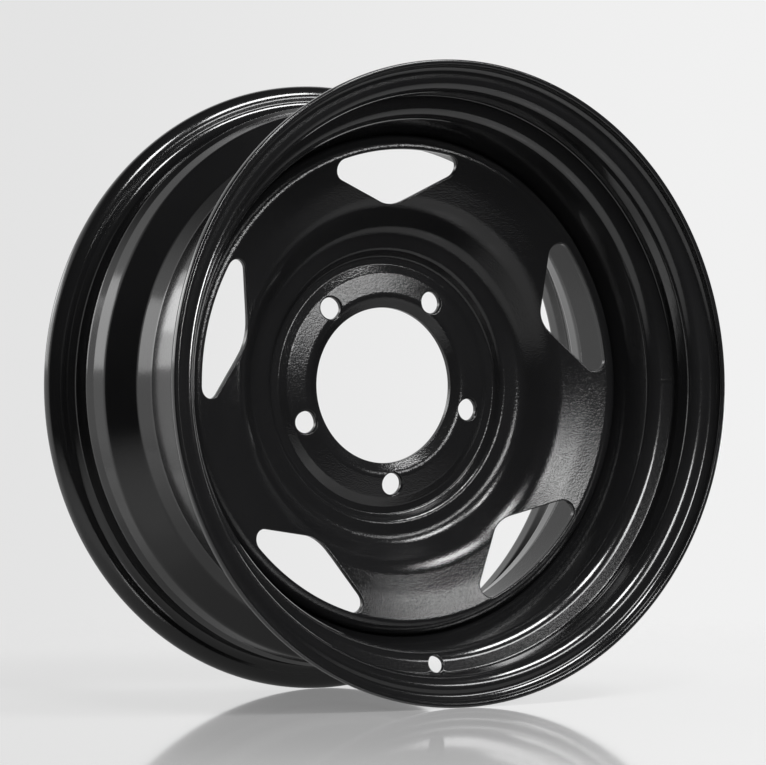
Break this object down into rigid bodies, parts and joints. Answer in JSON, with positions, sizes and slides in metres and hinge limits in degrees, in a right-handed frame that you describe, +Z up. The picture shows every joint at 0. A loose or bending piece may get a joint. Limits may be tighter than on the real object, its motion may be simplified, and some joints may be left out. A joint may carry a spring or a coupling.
{
  "type": "steel wheel rim",
  "caption": "Black welded steel wheel rim: rolled drop-centre band with a pressed, deeply dished disc, rounded triangular windows, centre bore and lug holes.",
  "frame": {"origin": "on the wheel's axis, half way between the two flange edges", "axes": "+Y along the wheel's axis toward the car, so the street side looks toward -Y; +Z up, away from the valve hole; X level"},
  "size_m": [0.4401, 0.202, 0.4402],
  "materials": {
    "band_paint": "semi-gloss black powder coat",
    "disc_paint": "semi-gloss black powder coat, finely grained",
    "weld_paint": "semi-gloss black powder coat over weld bead"
  },
  "bodies": {
    "root": {"rim": "band_paint", "disc": "disc_paint", "welds": "weld_paint"}
  },
  "joints": []
}
